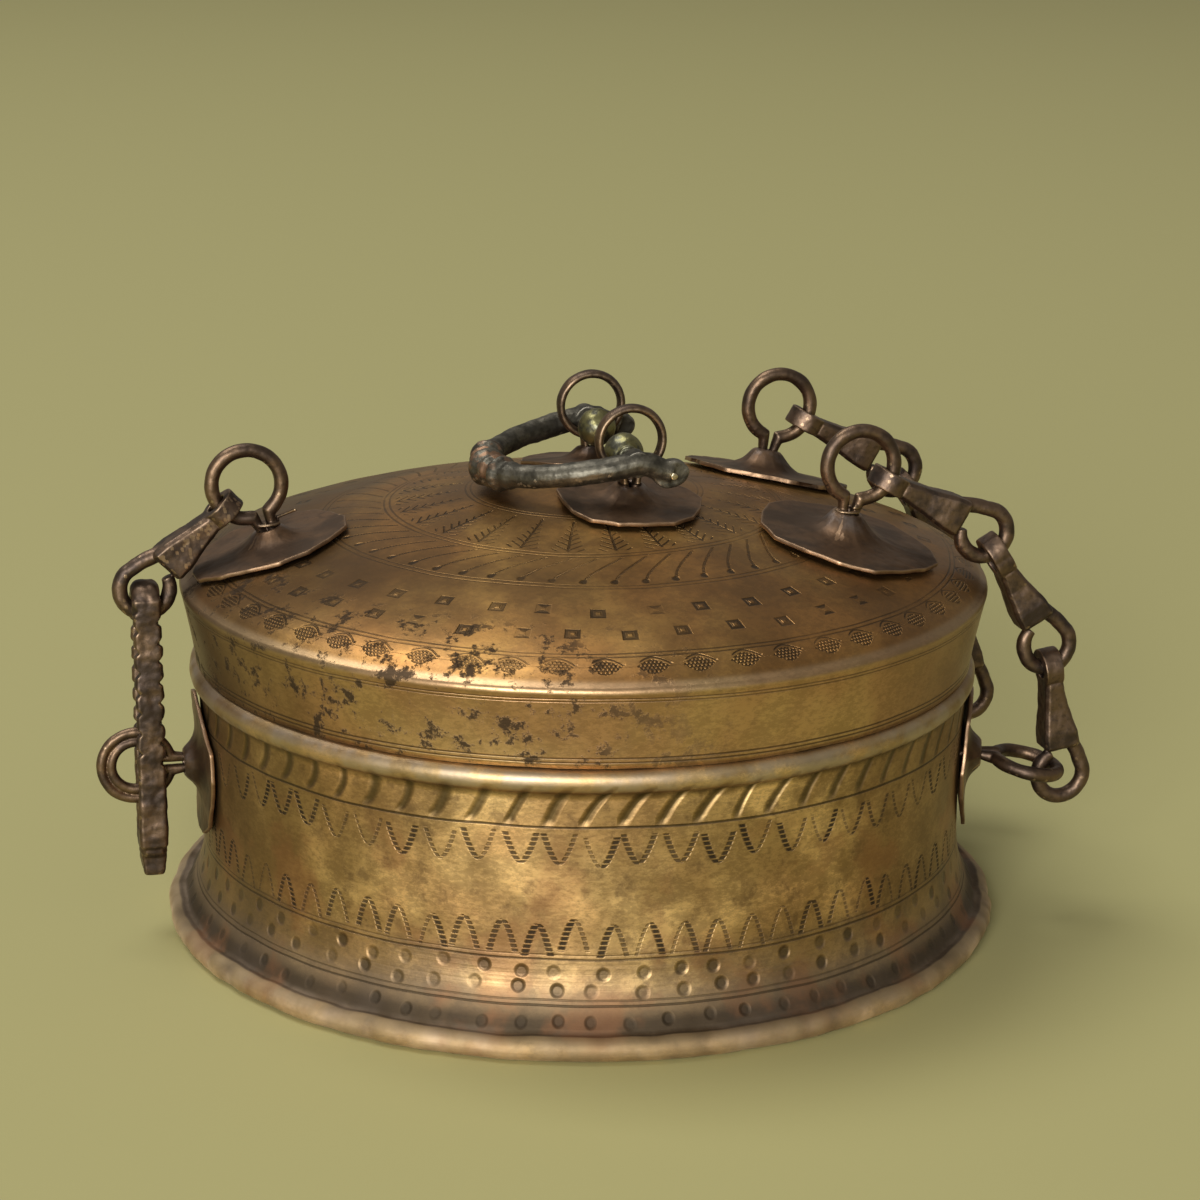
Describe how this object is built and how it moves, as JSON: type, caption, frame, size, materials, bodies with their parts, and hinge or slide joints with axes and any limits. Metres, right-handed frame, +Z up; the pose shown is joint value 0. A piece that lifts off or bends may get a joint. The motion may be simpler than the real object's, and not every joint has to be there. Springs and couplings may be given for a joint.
{
  "type": "lidded metal storage box",
  "caption": "Round brass box with a rolled foot, domed slip-on lid, carrying bail, hooked chain links as lid keepers, and a slotted hasp over a staple.",
  "frame": {"origin": "centre of the base disc's underside, on the surface that the box stands on", "axes": "+Z up the drum's axis, -X to the hasp, +X to the chains, +Y to the rear chain"},
  "size_m": [0.2686, 0.2298, 0.1458],
  "materials": {
    "body_brass": "aged, engraved",
    "lid_brass": "aged, engraved, stained",
    "plate_copper": "worn, thin sheet",
    "link_bronze": "forged, worn edges",
    "bail_bronze": "hammered, dark",
    "pin_brass": "bright"
  },
  "bodies": {
    "drum": {"body_shell": "body_brass", "base_disc": "body_brass", "hasp_staple_plate": "plate_copper", "hasp_staple_loop": "link_bronze", "chain_staple_front_plate": "plate_copper", "chain_staple_front_loop": "link_bronze", "chain_staple_rear_plate": "plate_copper", "chain_staple_rear_loop": "link_bronze"},
    "lid": {"lid_shell": "lid_brass", "closure_plate": "plate_copper", "closure_loop": "link_bronze", "lid_chain_front_plate": "plate_copper", "lid_chain_front_loop": "link_bronze", "lid_chain_rear_plate": "plate_copper", "lid_chain_rear_loop": "link_bronze", "bail_front_plate": "plate_copper", "bail_front_loop": "link_bronze", "bail_rear_plate": "plate_copper", "bail_rear_loop": "link_bronze"},
    "bail_pins": {"bail_pivot_front": "bail_bronze", "bail_pivot_rear": "bail_bronze"},
    "bail": {"bail": "bail_bronze", "bail_stud_front": "pin_brass", "bail_stud_rear": "pin_brass"},
    "closure_link": {"closure_link": "link_bronze"},
    "hasp": {"hasp": "link_bronze"},
    "front_upper_link": {"chain_front_upper_link": "link_bronze"},
    "front_middle_link": {"chain_front_middle_link": "link_bronze"},
    "front_lower_link": {"chain_front_lower_link": "link_bronze"},
    "rear_upper_link": {"chain_rear_upper_link": "link_bronze"},
    "rear_middle_link": {"chain_rear_middle_link": "link_bronze"},
    "rear_lower_link": {"chain_rear_lower_link": "link_bronze"}
  },
  "joints": [
    {"name": "lid_hinge", "type": "hinge", "parent": "drum", "child": "lid", "pos_m": [0.1062, 0, 0.0743], "axis": [0, 1, 0], "range_deg": [0, 55]},
    {"name": "bail_lift", "type": "slide", "parent": "lid", "child": "bail_pins", "axis": [0, 0, 1], "range_m": [0, 0.0095]},
    {"name": "bail_swing", "type": "hinge", "parent": "bail_pins", "child": "bail", "pos_m": [0.007, 0, 0.1312], "axis": [0, 1, 0], "range_deg": [0, 92.5]},
    {"name": "closure_link_swing", "type": "hinge", "parent": "lid", "child": "closure_link", "pos_m": [-0.09175, 0, 0.1232], "axis": [0, 1, 0], "range_deg": [0, 175.5]},
    {"name": "hasp_swing", "type": "hinge", "parent": "closure_link", "child": "hasp", "pos_m": [-0.11938, 0, 0.09632], "axis": [0, 1, 0], "range_deg": [0, 85.5]},
    {"name": "front_upper_swing", "type": "hinge", "parent": "lid", "child": "front_upper_link", "pos_m": [0.06602, -0.037, 0.12988], "axis": [0, 1, 0], "range_deg": [-33, 0]},
    {"name": "front_lower_swing", "type": "hinge", "parent": "drum", "child": "front_lower_link", "pos_m": [0.12552, -0.037, 0.04166], "axis": [0, 1, 0], "range_deg": [0, 14]},
    {"name": "front_middle_swing", "type": "hinge", "parent": "front_lower_link", "child": "front_middle_link", "pos_m": [0.12126, -0.037, 0.0773], "axis": [0, 1, 0], "range_deg": [0, 57]},
    {"name": "rear_upper_swing", "type": "hinge", "parent": "lid", "child": "rear_upper_link", "pos_m": [0.06602, 0.037, 0.12988], "axis": [0, 1, 0], "range_deg": [-33, 0]},
    {"name": "rear_lower_swing", "type": "hinge", "parent": "drum", "child": "rear_lower_link", "pos_m": [0.12552, 0.037, 0.04166], "axis": [0, 1, 0], "range_deg": [0, 14]},
    {"name": "rear_middle_swing", "type": "hinge", "parent": "rear_lower_link", "child": "rear_middle_link", "pos_m": [0.12126, 0.037, 0.0773], "axis": [0, 1, 0], "range_deg": [0, 57]}
  ],
  "couplings": [
    {"joint": "closure_link_swing", "follows": "lid_hinge", "ratio": 3.1818},
    {"joint": "hasp_swing", "follows": "lid_hinge", "ratio": 1.5455},
    {"joint": "bail_swing", "follows": "bail_lift", "rad_per_m": 169.02},
    {"joint": "front_upper_swing", "follows": "lid_hinge", "ratio": -0.59},
    {"joint": "front_lower_swing", "follows": "lid_hinge", "ratio": 0.2461},
    {"joint": "front_middle_swing", "follows": "lid_hinge", "ratio": 1.0268},
    {"joint": "rear_upper_swing", "follows": "lid_hinge", "ratio": -0.59},
    {"joint": "rear_lower_swing", "follows": "lid_hinge", "ratio": 0.2461},
    {"joint": "rear_middle_swing", "follows": "lid_hinge", "ratio": 1.0268}
  ]
}
